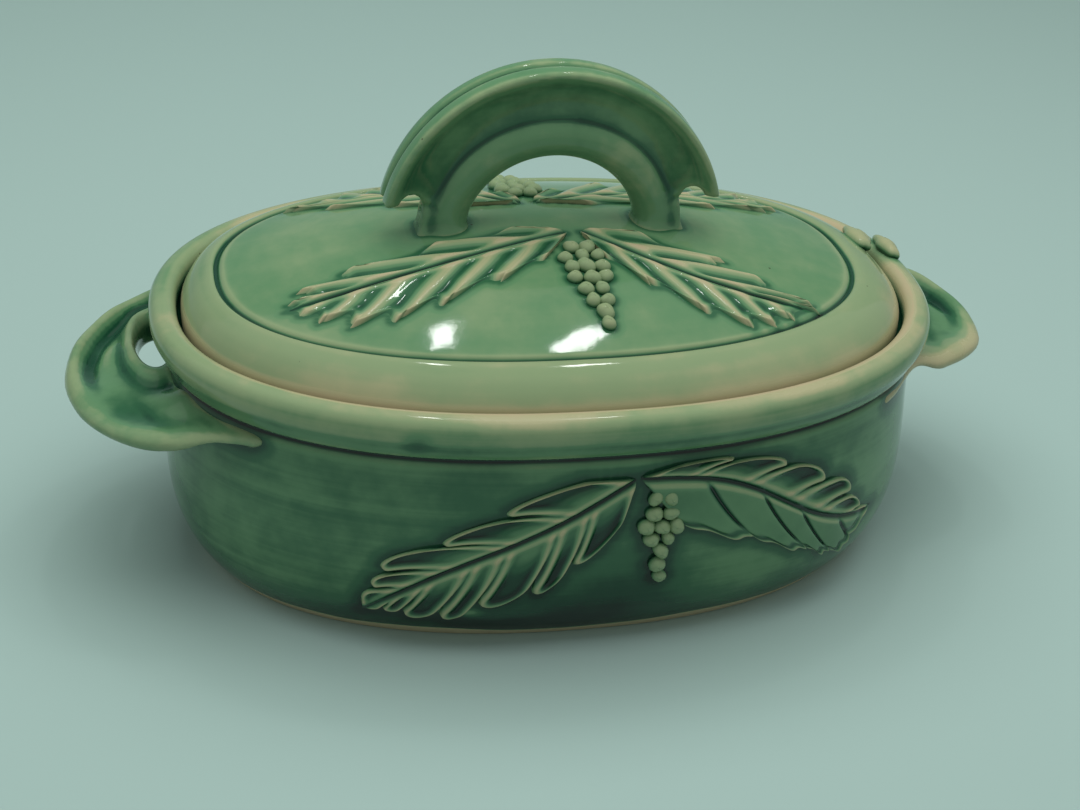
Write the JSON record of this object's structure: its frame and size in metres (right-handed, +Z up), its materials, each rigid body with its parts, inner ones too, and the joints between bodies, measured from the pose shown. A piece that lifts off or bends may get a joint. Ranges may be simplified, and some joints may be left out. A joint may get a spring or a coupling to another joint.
{
  "type": "covered casserole dish",
  "caption": "Oval stoneware baking dish with two lug handles, a loose domed lid that sits inside the rim, an arched lid handle and applied leaf and berry sprigs.",
  "frame": {"origin": "centre of the foot, on the plane the dish stands on", "axes": "+Z up, +X along the dish's length to the end with the alignment buds, -Y to the front"},
  "size_m": [0.3868, 0.223, 0.202],
  "materials": {
    "dish_glaze": "glossy celadon glaze, darker where it pools, buff where it thins",
    "lid_glaze": "glossy celadon glaze, darker where it pools, buff where it thins",
    "handle_glaze": "glossy celadon glaze, darker where it pools, buff where it thins",
    "leaf_glaze": "glossy celadon glaze, darker where it pools, buff where it thins",
    "berry_glaze": "glossy celadon glaze, darker where it pools, buff where it thins"
  },
  "bodies": {
    "dish": {"dish_body": "dish_glaze", "handle_left": "handle_glaze", "handle_right": "handle_glaze", "rim_alignment_bud": "berry_glaze", "dish_leaf_left_front": "leaf_glaze", "dish_leaf_right_front": "leaf_glaze", "dish_leaf_left_back": "leaf_glaze", "dish_leaf_right_back": "leaf_glaze", "dish_berries_front": "berry_glaze", "dish_berries_back": "berry_glaze"},
    "lid_body": {"lid": "lid_glaze", "lid_handle": "handle_glaze", "lid_alignment_bud": "berry_glaze", "lid_leaf_left_front": "leaf_glaze", "lid_leaf_right_front": "leaf_glaze", "lid_leaf_left_back": "leaf_glaze", "lid_leaf_right_back": "leaf_glaze", "lid_berries_front": "berry_glaze", "lid_berries_back": "berry_glaze"}
  },
  "joints": [
    {"name": "lid_lift", "type": "slide", "parent": "dish", "child": "lid_body", "axis": [0, 0, 1], "range_m": [0, 0.1]}
  ]
}
